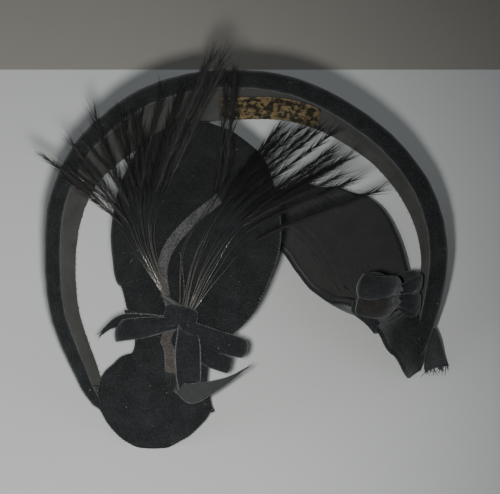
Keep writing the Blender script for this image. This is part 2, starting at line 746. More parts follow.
label_cloth = new_cloth()
label_length, label_area = add_wall(
    label_cloth, label_surface, 90, 26, -UNDER_LINING, -UNDER_LINING - 0.0006
)
label = make_piece("bare_satin_label", label_cloth, [label_satin()], "label")
label_rim = [
    [
        label_surface(0.01 + 0.98 * i / 60, t) - band_way(LABEL_MIDDLE)[2] * (UNDER_LINING + 0.0007)
        for i in range(61)
    ]
    for t in (0.05, 0.95)
]
label_stitches = stitched(
    "label_stitches", label_rim, spacing=0.0022, length=0.0012, thickness=0.0003, slant=0.0,
    material=thread("ochre_thread", "#5b4d31", "#77663f")
)
min(label_area, LABEL_HEIGHT * label_length)

# The left leaf is buckram covered in black velvet: a small round lobe on the table, a neck where
# the bow is tied, and a wide leaf that leans back under the feathers, bowed like a shoehorn.
# columns: middle line x, y, z, half width, sag of the edges, and lean in degrees
LEFT_LEAF_SECTIONS = (
    (-0.247, -0.187, -0.006, 0.09, 0.01, 0),
    (-0.247, -0.172, 0.05, 0.212, 0.028, 0),
    (-0.245, -0.149, 0.13, 0.308, 0.064, 0),
    (-0.24, -0.123, 0.21, 0.346, 0.085, 0),
    (-0.224, -0.097, 0.29, 0.301, 0.074, 0),
    (-0.205, -0.067, 0.37, 0.235, 0.056, 0),
    (-0.195, -0.022, 0.455, 0.231, 0.051, 0),
    (-0.179, 0.03, 0.535, 0.327, 0.077, 0),
    (-0.159, 0.112, 0.615, 0.414, 0.115, 0),
    (-0.148, 0.224, 0.665, 0.465, 0.141, 0),
    (-0.139, 0.351, 0.7, 0.497, 0.154, 0),
    (-0.136, 0.47, 0.73, 0.485, 0.147, 0),
    (-0.136, 0.582, 0.765, 0.438, 0.122, 0),
    (-0.139, 0.664, 0.796, 0.353, 0.077, 0),
    (-0.139, 0.713, 0.818, 0.237, 0.038, 0),
    (-0.139, 0.743, 0.832, 0.09, 0.01, 0),
)
LEAF_WIDTH = 0.078


class Leaf:
    """A leaf's outer face: places by row along its middle line and v across from -1 to 1"""

    def __init__(self, rows, width, outside):
        self.middle = in_rows(rows, lambda r: in_arch(*r[:3]))
        self.sizes = in_rows(rows, lambda r: (r[3] * width, r[4] * width, math.radians(r[5])))
        self.outside = outside
        self.last = len(rows) - 1
        self.known = {}

    def frame(self, row):
        if row not in self.known:
            along = (self.middle(row + 0.05) - self.middle(row - 0.05)).normalized()
            across = (Vector((1, 0, 0)) - along * along.x).normalized()
            across = Matrix.Rotation(self.sizes(row).z, 3, along) @ across
            self.known[row] = (self.middle(row), along, across, along.cross(across) * self.outside)
        return self.known[row]

    def point(self, row, v):
        origin, _, across, out = self.frame(row)
        half, sag, _ = self.sizes(row)
        return origin + across * (half * v) - out * (sag * v * v)


left_leaf_form = Leaf(LEFT_LEAF_SECTIONS, LEAF_WIDTH, -1)
CREASE_FROM, CREASE_TO = Vector((-0.063, 0.0165)), Vector((-0.036, -0.0038))


def left_leaf_surface(s, t):
    row = s * left_leaf_form.last
    point = left_leaf_form.point(row, 2 * t - 1)
    out = left_leaf_form.frame(row)[3]
    # a crease crosses the lobe slantwise, as seen from in front and above
    seen = Vector((point.x - ARCH_FROM_ORIGIN.x, point.y - ARCH_FROM_ORIGIN.y + point.z))
    length = CREASE_TO - CREASE_FROM
    share = min(max((seen - CREASE_FROM).dot(length) / length.length_squared, 0), 1)
    off = (seen - CREASE_FROM - length * share).length
    crease = 0.0007 * math.exp(-((off / 0.0016) ** 2)) * math.sin(math.pi * (0.1 + 0.8 * share))
    return point + out * (0.0002 * uneven(point, 0.014, 3.0) - crease)


def leaf_edge_lines(leaf, first, last, share, lift, count=150):
    lines = []
    for v in (-share, share):
        rows = [first + (last - first) * i / (count - 1) for i in range(count)]
        lines.append([leaf.point(r, v) + leaf.frame(r)[3] * lift for r in rows])
    return lines


leaf_cloth = new_cloth()
leaf_length, leaf_area = add_wall(leaf_cloth, left_leaf_surface, 150, 48, 0.0, WALL, rounds=4)
left_leaf = make_piece("velvet_left_leaf", on_table(leaf_cloth), [BLACK_VELVET], "left_leaf")
left_leaf_stitches = stitched(
    "left_leaf_stitches", leaf_edge_lines(left_leaf_form, 0.3, 14.6, 0.975, 0.00005), spacing=0.0017,
    length=0.0007, thickness=0.00035, slant=0.0, material=WORN_THREAD
)
min(leaf_area, LEAF_WIDTH * leaf_length)

# The right leaf is the left one's fellow, smaller, lying with its lined face up: it comes from the
# roll's end, twists at the neck, and its sides curl up from the table.
RIGHT_LEAF_SECTIONS = (
    (0.415, 0.172, 0, 0.078, 0.009, 45),
    (0.411, 0.179, 0.07, 0.138, 0.017, 46),
    (0.398, 0.204, 0.135, 0.193, 0.034, 42),
    (0.37, 0.234, 0.182, 0.221, 0.043, 32),
    (0.332, 0.276, 0.18, 0.276, 0.055, 20),
    (0.302, 0.332, 0.13, 0.353, 0.095, 12),
    (0.278, 0.425, 0.072, 0.422, 0.155, 8),
    (0.255, 0.545, 0.028, 0.462, 0.207, 5),
    (0.229, 0.672, 0.004, 0.486, 0.224, 4),
    (0.193, 0.787, -0.006, 0.509, 0.19, 4),
    (0.145, 0.884, -0.007, 0.483, 0.112, 3),
    (0.119, 0.959, 0.03, 0.345, 0.069, 2),
    (0.105, 0.996, 0.09, 0.121, 0.017, 1),
)
RIGHT_LEAF_WIDTH = 0.058
right_leaf_form = Leaf(RIGHT_LEAF_SECTIONS, RIGHT_LEAF_WIDTH, 1)


def right_leaf_surface(s, t):
    row = s * right_leaf_form.last
    point = right_leaf_form.point(row, 2 * t - 1)
    return point + right_leaf_form.frame(row)[3] * 0.0002 * uneven(point, 0.014, 5.0)


right_cloth = new_cloth()
right_length, right_area = add_wall(right_cloth, right_leaf_surface, 130, 40, 0.0, -WALL, rounds=4)
right_leaf = make_piece("velvet_right_leaf", on_table(right_cloth), [BLACK_VELVET], "right_leaf")
right_leaf_stitches = stitched(
    "right_leaf_stitches", leaf_edge_lines(right_leaf_form, 0.5, 11.6, 0.985, -WALL - 0.0001),
    spacing=0.0017, length=0.0008, thickness=0.0003, slant=0.2, material=BLACK_THREAD
)
min(right_area, RIGHT_LEAF_WIDTH * right_length)

# Its lining is the band's cotton, darker here, cut a little small and felled inside the edge, so
# that it draws into long wrinkles from the neck to the tip.
LEAF_STEPS = 26
LEAF_LINING_FIRST, LEAF_LINING_LAST = 8 / LEAF_STEPS, 25 / LEAF_STEPS


def right_lining_surface(s, t):
    row = (LEAF_LINING_FIRST + s * (LEAF_LINING_LAST - LEAF_LINING_FIRST)) * right_leaf_form.last
    reach = 1 - LINING_INSET / right_leaf_form.sizes(row).x
    v = (2 * t - 1) * reach
    point = right_leaf_form.point(row, v)
    lengthwise = Vector((v * 0.03 + 0.004 * s, s * 0.012, 0))
    wrinkle = 0.00035 * (
        1 + uneven(lengthwise, 0.0035, 2.0)
    ) + 0.00025 * (1 + uneven(lengthwise, 0.0014, 7.0))
    upper_fold = 0.0006 * math.exp(-(((v - 0.25 + 0.3 * s) / 0.05) ** 2))
    lower_fold = 0.0005 * math.exp(-(((v + 0.35 - 0.2 * s) / 0.04) ** 2))
    inside = max(1 - abs(v / reach) ** 8, 0)
    return point - right_leaf_form.frame(row)[3] * (wrinkle + (upper_fold + lower_fold)) * inside


leaf_lining_cloth = new_cloth()
leaf_lining_length, leaf_lining_area = add_wall(
    leaf_lining_cloth, right_lining_surface, 170, 90, -UNDER_WALL, -UNDER_WALL - LINING
)
LEAF_COTTON = lining_cotton("dark_cotton_lining", "#2a2c2c", "#393b3b", "#232525")
right_leaf_lining = make_piece("cotton_leaf_lining", leaf_lining_cloth, [LEAF_COTTON], "right_leaf_lining")
min(leaf_lining_area, RIGHT_LEAF_WIDTH * leaf_lining_length)

# Each neck is wrapped once round with the bows' ribbon: 10.5 mm velvet ribbon with a plain woven
# back and a picot selvage, whose tiny loops have worn pale.
RIBBON_WIDTH, RIBBON = 0.0105, 0.001
GAP = 0.0003
FACE_SHARE = 0.45
# drawn tight round a neck, the ribbon creases to this share of its width
DRAWN_TIGHT = 0.72
LEFT_NECK, RIGHT_NECK = 6.6, 3.7
RIBBON_VELVET = velvet("black_velvet_ribbon", "#16181a", "#434749", "#a3a39f")


def ribbon_back(name, hex_warp, hex_weft):
    """The ribbon's plain back: ribbed silk and cotton weave, faded and rubbed"""
    material, tree = new_material(name)
    on_cloth = node(tree, "ShaderNodeUVMap", uv_map="cloth")
    where = node(tree, "ShaderNodeTexCoord").outputs["Object"]
    # ribs are 0.3 mm apart, drawn at 0.55 mm so that they show
    ribs = node(
        tree, "ShaderNodeTexWave", {"Vector": on_cloth, "Scale": 570.0, "Distortion": 0.8},
        bands_direction="X"
    )
    rubbed = node(
        tree, "ShaderNodeTexNoise", {"Vector": where, "Scale": 900.0, "Detail": 4.0, "Roughness": 0.7}
    )
    worn = node(tree, "ShaderNodeMapRange", {"Value": rubbed, "From Min": 0.4, "From Max": 0.62})
    share = node(tree, "ShaderNodeMath", {0: ribs.outputs["Fac"], 1: worn}, operation="MULTIPLY")
    back = node(
        tree, "ShaderNodeMix", {"Factor": share, "A": linear(hex_warp), "B": linear(hex_weft)},
        data_type="RGBA"
    )
    bump = node(
        tree, "ShaderNodeBump", {"Height": ribs.outputs["Fac"], "Strength": 0.5, "Distance": 0.0002}
    )
    return finished(material, {"Base Color": back, "Normal": bump, "Roughness": 0.75, "Sheen Weight": 0.1})


GREY_BACK = ribbon_back("grey_ribbon_back", "#1c1e20", "#303336")
BEIGE_BACK = ribbon_back("beige_ribbon_back", "#282625", "#5b5650")
RIBBED_BACK = ribbon_back("ribbed_ribbon_back", "#202122", "#6a6b6c")
BLACK_BACK = ribbon_back("black_ribbon_back", "#1a1c1d", "#3a3e40")


def wrap_surface(leaf, neck_row, lining):
    row_length = (leaf.frame(neck_row + 0.5)[0] - leaf.frame(neck_row - 0.5)[0]).length
    inside = -(WALL + CLOTH_GAP + lining)

    def surface(s, t):
        lap = (s + 1) % 1
        back = lap >= 0.5
        on_face = min((lap % 0.5) / FACE_SHARE, 1)
        on_edge = max(((lap % 0.5) - FACE_SHARE) / (0.5 - FACE_SHARE), 0)
        row = neck_row + (t - 0.5) * DRAWN_TIGHT * RIBBON_WIDTH / row_length
        v = (2 * on_face - 1) * (1 + 2 * GAP / leaf.sizes(row).x) * (-1 if back else 1)
        here, there = (inside, CLOTH_GAP) if back else (CLOTH_GAP, inside)
        return leaf.point(row, v) + leaf.frame(row)[3] * (here + on_edge * (there - here))

    return surface


def wrapped_neck(name, leaf, neck_row, lining, replaced):
    cloth = new_cloth()
    surface = wrap_surface(leaf, neck_row, lining)
    outer, inner = -RIBBON * leaf.outside, 0.0
    length, area = add_wall(cloth, surface, 90, 14, outer, inner, (0, 0, 1), closed=True)
    piece = make_piece(name, on_table(cloth), [RIBBON_VELVET, GREY_BACK], replaced)
    return piece


left_wrap = wrapped_neck("ribbon_round_left_neck", left_leaf_form, LEFT_NECK - 0.17, 0, "left_neck_wrap")
right_wrap = wrapped_neck(
    "ribbon_round_right_neck", right_leaf_form, RIGHT_NECK, LINING + CLOTH_GAP, "right_neck_wrap"
)

# The left bow is tied of the same ribbon, its loops lying open to both sides and its ends cut
# raw: one hangs in a fold, one shows its pale back, and one stands up the leaf between the quills.
# rows: side, along and out of the neck in loops' lengths, turn of the ribbon's width in degrees
# and width share. After "leaf" the first three are row, across and lift, after "beside" the arch's.
LOOP_LENGTH, KNOT, KNOT_RISE = 0.029, 0.012, 0.5
BOW_LIFT = RIBBON + 2 * CLOTH_GAP
RIBBON_CLOTH = 0.0006
LEFT_LOOP = (
    (-0.02, 0.1, 0.24, 0, 0.8),
    (-0.45, -0.07, 0.36, 0, 1),
    (-0.76, -0.2, 0.32, 0, 1),
    (-0.85, -0.25, 0.18, 0, 1),
    (-0.76, -0.2, 0.08, 0, 1),
    (-0.45, -0.07, 0.1, 0, 1),
    (-0.02, 0.08, 0.12, 0, 0.8),
)
RIGHT_LOOP = (
    (0.02, 0.1, 0.24, 0, 0.8),
    (0.45, 0.02, 0.38, 0, 1),
    (0.88, 0.01, 0.38, 0, 0.9),
    (1.06, 0, 0.24, 0, 0.8),
    (0.9, 0, 0.12, 0, 0.8),
    (0.45, 0, 0.12, 0, 1),
    (0.02, 0.08, 0.12, 0, 0.8),
)
UNDER_LOOP = (
    (0.1, 0, 0.2, 0, 0.6),
    (0.5, -0.24, 0.4, 0, 0.75),
    (0.8, -0.29, 0.36, 0, 0.75),
    (0.9, -0.3, 0.24, 0, 0.7),
    (0.5, -0.26, 0.16, 0, 0.75),
    (0.1, -0.02, 0.12, 0, 0.6),
)
HANGING_FOLD = (
    (0.12, 0.14, 0.26, 90, 0.7),
    (0.2, -0.05, 0.48, 90, 1),
    (0.27, -0.33, 0.5, 90, 1.15),
    (0.36, -0.62, 0.4, 90, 1.1),
    (0.4, -0.8, 0.3, 60, 0.8),
)
LOWER_TAIL = (
    (0.22, -0.86, 0.26, 10, 0.3),
    (0.56, -0.84, 0.38, 10, 1),
    (0.91, -0.58, 0.42, 15, 0.6),
    (1.2, -0.25, 0.46, 20, 0.12),
)
BACK_TAIL = (
    (-0.1, -0.02, 0.12, 60, 0.5),
    (-0.12, -0.2, 0.2, 70, 0.45),
    (0.0, -0.37, 0.26, 80, 0.5),
    (0.13, -0.66, 0.26, 90, 0.75),
)
SIDE_TAIL = (
    (-0.1, 0.06, 0.16, 0, 0.7),
    (-0.72, -0.04, 0.2, 0, 0.6),
    (-0.96, -0.15, 0.22, 0, 0.5),
    (-1.1, -0.34, 0.24, 0, 0.3),
)
UPRIGHT_TAIL = (
    (-0.08, 0.08, 0.18, 90, 0.35),
    (-0.2, 0.3, 0.1, 90, 0.35),
    ("leaf", 8.3, -0.36, 0.5, 95, 0.42),
    ("leaf", 9.1, -0.27, 0.6, 115, 0.46),
    ("leaf", 9.9, -0.03, 0.6, 132, 0.46),
    ("leaf", 10.7, 0.26, 0.5, 132, 0.42),
)


def ribbon_place(leaf, neck_row, row, lift):
    kind = row[0] if isinstance(row[0], str) else "neck"
    a, b, c = row[-5:-2]
    if kind == "beside":
        return in_arch(a, b, c)
    if kind == "leaf":
        return leaf.point(a, b) + leaf.frame(a)[3] * (c * RIBBON_WIDTH)
    origin, along, across, out = leaf.frame(neck_row)
    return origin + across * (a * LOOP_LENGTH) + along * (b * LOOP_LENGTH) + out * (lift + c * LOOP_LENGTH)


class RibbonRun:
    """One run of ribbon through a table's places, with pleats where it is gathered"""

    def __init__(self, leaf, neck_row, rows, lift, pleats, curl, upright=None):
        self.path = smooth_through([ribbon_place(leaf, neck_row, r, lift) for r in rows])
        self.turn = smooth_through([(math.radians(r[-2]), r[-1], 0) for r in rows])
        self.frame = leaf.frame(neck_row)
        self.pleats, self.curl, self.upright = pleats, curl, upright

    def surface(self, s, t):
        _, along, across, _ = self.frame
        turn, wide, _ = self.turn(s)
        way = self.upright or along * math.cos(turn) + across * math.sin(turn)
        ahead = (self.path(min(s + 0.01, 1)) - self.path(max(s - 0.01, 0))).normalized()
        out = ahead.cross(way).normalized()
        width = RIBBON_WIDTH * wide
        far_end = math.exp(-9 * (1 - s)) if self.pleats > 0 else 0
        gathered = math.exp(-9 * s) + far_end
        width *= 1 - 0.35 * min(gathered, 1) * (1 if self.pleats > 0 else 0)
        pleat = abs(self.pleats) * gathered * math.cos(2 * math.pi * 2.5 * t)
        bow = self.curl * (1 - (2 * t - 1) ** 2)
        point = self.path(s) + way * ((t - 0.5) * width)
        soft = 0.0012 * uneven(point, 0.009, 9.0) + 0.0003 * uneven(point, 0.0035, 4.0)
        return point + out * (pleat + bow + soft * min(6 * s, 1.0))


def add_ribbon(cloth, run, face, backing, front=0):
    """Adds a run of ribbon; face is 1 where its velvet is on the side of cross of s and t, else -1"""
    half = face * RIBBON_CLOTH / 2
    return add_wall(cloth, run.surface, 70, 14, half, -half, (front, 1, backing), rounds=2)


def selvage_lines(run, count=60):
    """The two picot edges of a run of ribbon"""
    return [[run.surface(i / (count - 1), t) for i in range(count)] for t in (0.0, 1.0)]


strand_tree, strand_in = new_tree(
    "tapering_strands",
    {"Root radius": "Float", "Tip radius": "Float", "Sides": "Int", "Material": "Material"}
)
strand = node(strand_tree, "GeometryNodeMeshToCurve", {"Mesh": strand_in["Geometry"]})
share_along = node(strand_tree, "GeometryNodeInputNamedAttribute", {"Name": "along"}, data_type="FLOAT")
taper = node(
    strand_tree, "ShaderNodeMapRange",
    {"Value": share_along, "To Min": strand_in["Root radius"], "To Max": strand_in["Tip radius"]}
)
ring = node(
    strand_tree, "GeometryNodeCurvePrimitiveCircle", {"Resolution": strand_in["Sides"], "Radius": 1.0}
)
rods = node(
    strand_tree, "GeometryNodeCurveToMesh",
    {"Curve": strand, "Profile Curve": ring, "Scale": taper, "Fill Caps": True}
)
end_tree(strand_tree, rods, strand_in["Material"])
dice = random.Random(31)


def frayed(run, count, reach):
    """Raw threads that stand out of a ribbon's cut end"""
    lines = []
    for _ in range(count):
        t = dice.uniform(0.02, 0.98)
        start = run.surface(1, t)
        way = (start - run.surface(0.97, t)).normalized()
        side = Vector([dice.gauss(0, 1) for _ in range(3)]) * 0.35
        long = reach * dice.uniform(0.3, 1.0)
        droop = Vector((0, 0, -0.3 * long))
        lines.append(
            [
                start - way * 0.0006, start + way * long * 0.4,
                start + (way + side) * long * 0.8 + droop * 0.6, start + (way + side * 1.6) * long + droop
            ]
        )
    return lines


def add_knot(cloth, leaf, neck_row, size, lift):
    """Adds the ribbon wound round the bow's middle: a pinched barrel with pleats running round"""
    origin, along, across, out = leaf.frame(neck_row)
    centre = origin + out * (lift + math.copysign(0.5 * size, lift)) + along * KNOT_RISE * size

    def surface(s, t):
        a = 2 * math.pi * s
        side = 2 * t - 1
        waist = 0.8 + 0.2 * (1 - side * side)
        ridge = 1 + 0.05 * math.cos(
            5 * math.pi * side + 2 * math.sin(a)
        ) + 0.06 * uneven(Vector((s * 3, t * 2, 0)), 1.0)
        up = along * (math.cos(a) * size * 0.43 * waist * ridge)
        off = out * (math.sin(a) * size * 0.33 * waist * ridge)
        return centre + up + off + across * (side * size * 0.58 * (1 + 0.1 * math.sin(a)))

    return add_wall(cloth, surface, 60, 16, RIBBON_CLOTH / 2, -RIBBON_CLOTH / 2, (0, 1, 2), closed=True)


# rows: places, height of the pleats, curl, side of the velvet, and backing's place in the materials
PLEATS, LOOP_CURL = 0.0009, 0.0014
left_runs = {
    name: (RibbonRun(left_leaf_form, LEFT_NECK, rows, BOW_LIFT, pleats, curl), face, backing)
    for name, rows, pleats, curl, face, backing in (
        ("left_loop", LEFT_LOOP, PLEATS, -LOOP_CURL, -1, 4),
        ("right_loop", RIGHT_LOOP, PLEATS, LOOP_CURL, 1, 4),
        ("under_loop", UNDER_LOOP, PLEATS, 0.0012, 1, 4),
        ("hanging_fold", HANGING_FOLD, -0.0006, -LOOP_CURL, 1, 2),
        ("lower_tail", LOWER_TAIL, -0.0001, 0.0, -1, 2),
        ("back_tail", BACK_TAIL, -0.0003, 0.0, -1, 3),
        ("side_tail", SIDE_TAIL, -0.0003, 0.0, -1, 2),
        ("upright_tail", UPRIGHT_TAIL, -0.0002, 0.0, 1, 5),
    )
}
SELVAGE = thread("pale_selvage", "#2a2c2d", "#525456")
bow_cloth = new_cloth()
bow_length = bow_area = 0.0
for place, (run, face, backing) in left_runs.items():
    run_length, run_area = add_ribbon(
        bow_cloth, run, face, backing, backing if place == "upright_tail" else 0
    )
    bow_length, bow_area = bow_length + run_length, bow_area + run_area
knot_length, knot_area = add_knot(bow_cloth, left_leaf_form, LEFT_NECK, KNOT, BOW_LIFT)
bow_length, bow_area = bow_length + knot_length, bow_area + knot_area
left_bow = make_piece(
    "left_ribbon_bow", bow_cloth, [RIBBON_VELVET, SELVAGE, GREY_BACK, BEIGE_BACK, BLACK_BACK, RIBBED_BACK],
    "left_bow"
)
left_edges = [line for run, _, _ in left_runs.values() for line in selvage_lines(run)]
# a loose picot edge lies up the leaf, on from the knot: its first row and place across, and its reach
LOOSE_FIRST, LOOSE_REACH, LOOSE_STEPS = (7.7, -0.02), (1.35, -0.13), 40
loose_picots = []
for i in range(LOOSE_STEPS + 1):
    row, v = (a + b * i / LOOSE_STEPS for a, b in zip(LOOSE_FIRST, LOOSE_REACH))
    loose_picots.append(
        left_leaf_form.point(row, v) + left_leaf_form.frame(row)[3] * (0.0035 - 0.0022 * i / LOOSE_STEPS)
    )
left_edges.append(loose_picots)
left_bow_picots = stitched(
    "left_bow_picots", left_edges, spacing=0.0012, length=0.0008, thickness=0.0005, slant=0.0,
    material=WORN_THREAD
)
RAW_ENDS = (
    ("back_tail", 26, 0.003), ("side_tail", 16, 0.0022), ("lower_tail", 8, 0.0025),
    ("upright_tail", 16, 0.003)
)
left_frays = [line for tail, count, reach in RAW_ENDS for line in frayed(left_runs[tail][0], count, reach)]
left_bow_threads = grown(
    "left_bow_frayed_threads", left_frays, strand_tree,
    {"Root radius": 0.00016, "Tip radius": 0.00006, "Sides": 4, "Material": GREY_BACK}
)
min(bow_area, RIBBON_WIDTH * bow_length)

# The right bow is squashed under the band's end: two pairs of loops stand up from the lined neck,
# one loop rubbed brown, and its tail comes out under the roll and stands on the table.
UPPER_LEFT_LOOP = (
    (-0.02, -0.1, -0.42, 0, 0.8),
    (-0.3, -0.2, -0.53, 0, 1),
    (-0.66, -0.2, -0.53, 0, 1.1),
    (-0.86, -0.02, -0.5, 0, 1.1),
    (-0.66, 0.14, -0.46, 0, 1),
    (-0.3, 0.12, -0.46, 0, 1),
    (-0.04, 0.02, -0.4, 0, 0.8),
)
LOWER_LEFT_LOOP = (
    (-0.02, -0.12, -0.24, 0, 0.8),
    (-0.3, -0.24, -0.22, 0, 1),
    (-0.6, -0.22, -0.2, 0, 1),
    (-0.8, -0.02, -0.2, 0, 1),
    (-0.6, 0.12, -0.2, 0, 1),
    (-0.3, 0.1, -0.2, 0, 1),
    (-0.03, 0.02, -0.22, 0, 0.8),
)
UPPER_RIGHT_LOOP = (
    (0.02, -0.1, -0.4, 0, 0.8),
    (0.2, -0.2, -0.5, 0, 1),
    (0.38, -0.18, -0.5, 0, 1),
    (0.47, 0, -0.48, 0, 1),
    (0.38, 0.14, -0.44, 0, 1),
    (0.2, 0.12, -0.42, 0, 1),
    (0.04, 0.02, -0.4, 0, 0.8),
)
LOWER_RIGHT_LOOP = (
    (0.02, -0.12, -0.22, 0, 0.8),
    (0.22, -0.24, -0.2, 0, 1.1),
    (0.42, -0.22, -0.18, 0, 1.1),
    (0.52, -0.02, -0.18, 0, 1),
    (0.4, 0.14, -0.18, 0, 1),
    (0.2, 0.1, -0.2, 0, 1),
    (0.04, 0.02, -0.22, 0, 0.8),
)
RIGHT_TAIL = (
    ("beside", 0.47, 0.29, 0.12, 95, 0.2),
    ("beside", 0.472, 0.255, 0.1, 95, 0.5),
    ("beside", 0.473, 0.205, 0.06, 100, 0.85),
    ("beside", 0.477, 0.178, 0.022, 100, 1.1),
)
RIGHT_BOW_LIFT = -(UNDER_LINING + BOW_LIFT)
right_neck_up = -right_leaf_form.frame(RIGHT_NECK)[3]
right_runs = []
# rows: places, side of the velvet, and the face's place in the materials
for rows, face, front in (
    (UPPER_LEFT_LOOP, -1, 0),
    (LOWER_LEFT_LOOP, -1, 3),
    (UPPER_RIGHT_LOOP, 1, 0),
    (LOWER_RIGHT_LOOP, 1, 0),
):
    places = (right_leaf_form, RIGHT_NECK, rows, RIGHT_BOW_LIFT)
    right_runs.append((RibbonRun(*places, PLEATS, face * LOOP_CURL, right_neck_up), face, front))
RUBBED_VELVET = velvet("rubbed_velvet_ribbon", "#1b1b1a", "#454340", "#a39f97")
right_bow_cloth = new_cloth()
right_bow_length, right_bow_area = add_knot(
    right_bow_cloth, right_leaf_form, RIGHT_NECK, 0.8 * KNOT, RIGHT_BOW_LIFT
)
for run, face, front in right_runs:
    run_length, run_area = add_ribbon(right_bow_cloth, run, face, 2, front)
    right_bow_length, right_bow_area = right_bow_length + run_length, right_bow_area + run_area
right_bow = make_piece(
    "right_ribbon_bow", right_bow_cloth, [RIBBON_VELVET, BLACK_BACK, GREY_BACK, RUBBED_VELVET], "right_bow"
)
right_edges = [line for run, _, _ in right_runs for line in selvage_lines(run)]
right_bow_picots = stitched(
    "right_bow_picots", right_edges, spacing=0.00115, length=0.0007, thickness=0.0005, slant=0.0,
    material=BLACK_THREAD
)
min(right_bow_area, RIBBON_WIDTH * right_bow_length)
FADED_VELVET = velvet("faded_velvet_ribbon", "#222425", "#54585a", "#a3a39f")
tail_across = Vector((1, 0.25, 0)).normalized()
tail_run = RibbonRun(right_leaf_form, RIGHT_NECK, RIGHT_TAIL, 0, -0.0003, 0.0008, tail_across)
tail_cloth = new_cloth()
tail_length, tail_area = add_ribbon(tail_cloth, tail_run, 1, 2)
right_tail = make_piece(
    "right_ribbon_tail", on_table(tail_cloth), [FADED_VELVET, SELVAGE, GREY_BACK], "right_tail"
)
tail_frays = [
    [Vector((p.x, p.y, max(p.z + 0.0002, ABOVE_TABLE))) for p in line]
    for line in frayed(tail_run, 34, 0.0024)
]
right_tail_threads = grown(
    "right_tail_frayed_threads", tail_frays, strand_tree,
    {"Root radius": 0.00016, "Tip radius": 0.00008, "Sides": 4, "Material": GREY_BACK}
)
min(max(tail_area, 0.31 * RIBBON_WIDTH * 1.1 * tail_length), RIBBON_WIDTH * 1.1 * tail_length)

# The spray is two bunches of stripped coque feathers bound above the knot: bare horn quills, pale
# at the root and black higher up, that fan over the leaf and end in wisps of fine barbs.
# columns: bunch, then bend x, y, z and tip x, y, z in the arch, and bow of the low part in metres
LOCKS = (
    (-1, -0.33, 0.27, 0.86, -0.485, 0.4, 1.01, -0.0005),
    (-1, -0.325, 0.3, 0.88, -0.45, 0.48, 1.05, -0.0015),
    (-1, -0.31, 0.33, 0.88, -0.39, 0.58, 1.08, -0.003),
    (-1, -0.285, 0.36, 0.88, -0.31, 0.66, 1.09, -0.0045),
    (-1, -0.26, 0.38, 0.88, -0.19, 0.7, 1.12, -0.006),
    (-1, -0.235, 0.4, 0.9, -0.1, 0.75, 1.25, -0.0075),
    (-1, -0.21, 0.42, 0.9, -0.055, 0.77, 1.29, -0.0085),
    (1, -0.065, 0.42, 0.89, -0.02, 0.77, 1.22, -0.0065),
    (1, -0.05, 0.36, 0.88, 0.1, 0.68, 0.92, -0.004),
    (1, -0.04, 0.33, 0.87, 0.19, 0.66, 0.91, -0.0035),
    (1, -0.02, 0.29, 0.85, 0.23, 0.6, 0.9, -0.003),
    (1, 0.0, 0.27, 0.84, 0.27, 0.54, 0.88, -0.0025),
    (1, 0.01, 0.25, 0.82, 0.3, 0.47, 0.86, -0.002),
)
SPRAY_HEAD, HEAD_LONG, HEAD_ROWS, HEAD_SIDE = 0.0065, 2.6, 0.8, -0.1
HEAD_TURN = math.radians(-16)
QUILLS_IN_LOCK, QUILL_POINTS = 3, 28
# how far apart a bunch's quills leave the head, from its middle to its side
LEFT_FAN, RIGHT_FAN = 0.001, 0.0034

head_origin, head_along, head_across, head_out = left_leaf_form.frame(LEFT_NECK + HEAD_ROWS)
head_origin = head_origin + head_out * (BOW_LIFT + SPRAY_HEAD * 0.45)
head_origin = head_origin + head_across * (HEAD_SIDE * LOOP_LENGTH)
head_turning = Matrix.Rotation(-HEAD_TURN * left_leaf_form.outside, 3, head_out)
head_along, head_across = head_turning @ head_along, head_turning @ head_across


def horn():
    """Quill horn: pale and waxy at the root, dyed black higher up, with a hard gloss"""
    material, tree = new_material("dyed_quill_horn")
    along = node(tree, "ShaderNodeAttribute", attribute_name="along")
    where = node(tree, "ShaderNodeTexCoord").outputs["Object"]
    streak = node(tree, "ShaderNodeTexNoise", {"Vector": where, "Scale": 350.0, "Detail": 3.0})
    dyed = node(
        tree, "ShaderNodeMapRange", {"Value": along.outputs["Fac"], "From Min": 0.0, "From Max": 0.7}
    )
    mottled = node(tree, "ShaderNodeMath", {0: streak, 1: 0.4}, operation="MULTIPLY")
    share = node(tree, "ShaderNodeMath", {0: dyed, 1: mottled}, operation="ADD", use_clamp=True)
    colour = node(
        tree, "ShaderNodeMix", {"Factor": share, "A": linear("#5a5852"), "B": linear("#232527")},
        data_type="RGBA"
    )
    ridges = node(tree, "ShaderNodeBump", {"Height": streak, "Strength": 0.2, "Distance": 0.0001})
    return finished(material, {"Base Color": colour, "Normal": ridges, "Roughness": 0.18, "IOR": 1.56})


def barb_black():
    """Feather barbs dyed black: silky, with a faint fading in patches"""
    material, tree = new_material("dyed_feather_barbs")
    where = node(tree, "ShaderNodeTexCoord").outputs["Object"]
    fade = node(tree, "ShaderNodeTexNoise", {"Vector": where, "Scale": 120.0, "Detail": 2.0})
    colour = node(
        tree, "ShaderNodeMix", {"Factor": fade, "A": linear("#0a0a0b"), "B": linear("#151515")},
        data_type="RGBA"
    )
    return finished(material, {"Base Color": colour, "Roughness": 0.5})


QUILL_HORN, BARB_BLACK = horn(), barb_black()


